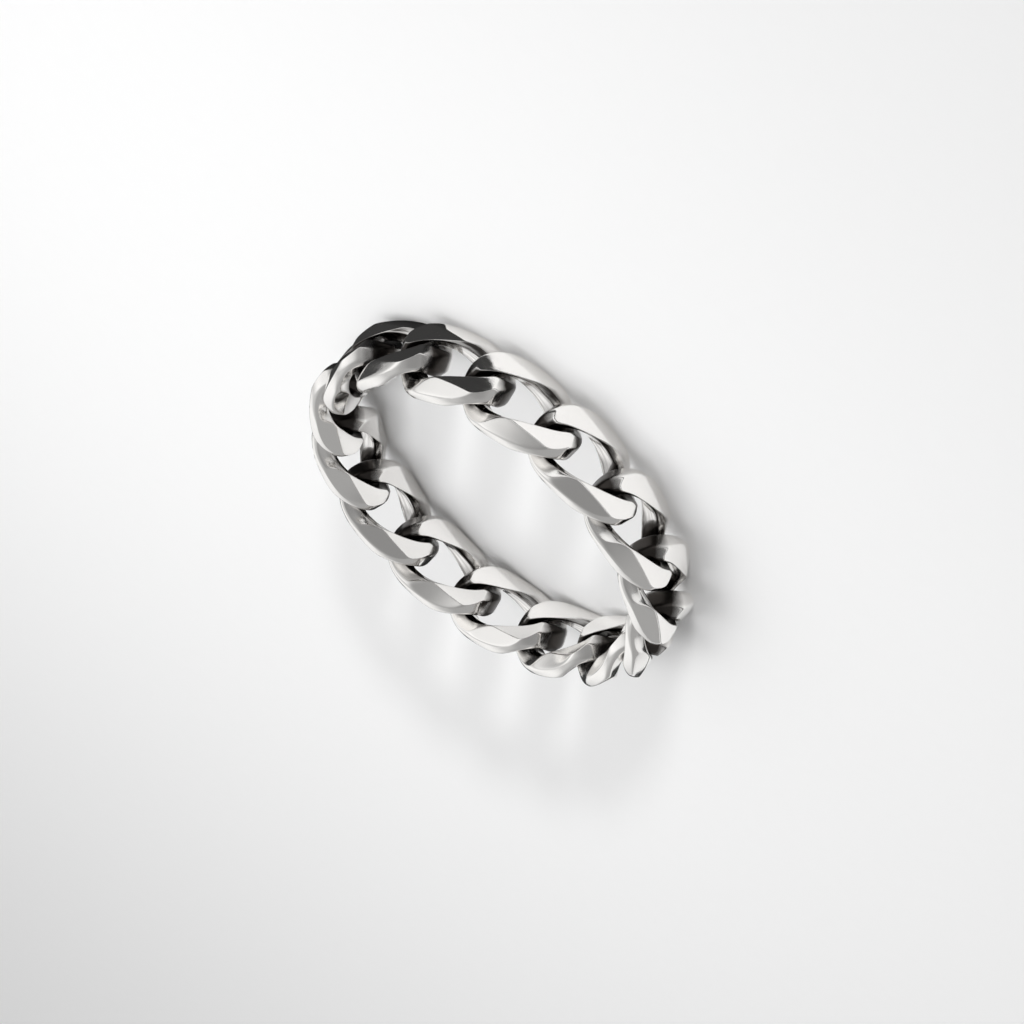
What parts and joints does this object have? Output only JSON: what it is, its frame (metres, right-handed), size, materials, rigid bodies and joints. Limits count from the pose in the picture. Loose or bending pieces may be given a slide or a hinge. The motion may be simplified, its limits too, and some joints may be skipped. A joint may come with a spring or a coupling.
{
  "type": "chain link ring",
  "caption": "Finger ring made as a closed band of flat twisted curb links, hooked through one another and cut with polished flats.",
  "frame": {"origin": "centre of the finger hole, half way up the band", "axes": "+Z along the axis of the finger hole, +X through the middle of link_01; the links are numbered towards +Y"},
  "size_m": [0.0223, 0.0224, 0.0044],
  "materials": {
    "silver": "mirror-polished silver with crisp ground flats and dull recesses"
  },
  "bodies": {
    "root": {"link_01": "silver", "link_02": "silver", "link_03": "silver", "link_04": "silver", "link_05": "silver", "link_06": "silver", "link_07": "silver", "link_08": "silver", "link_09": "silver", "link_10": "silver", "link_11": "silver", "link_12": "silver", "link_13": "silver", "link_14": "silver", "link_15": "silver"}
  },
  "joints": []
}
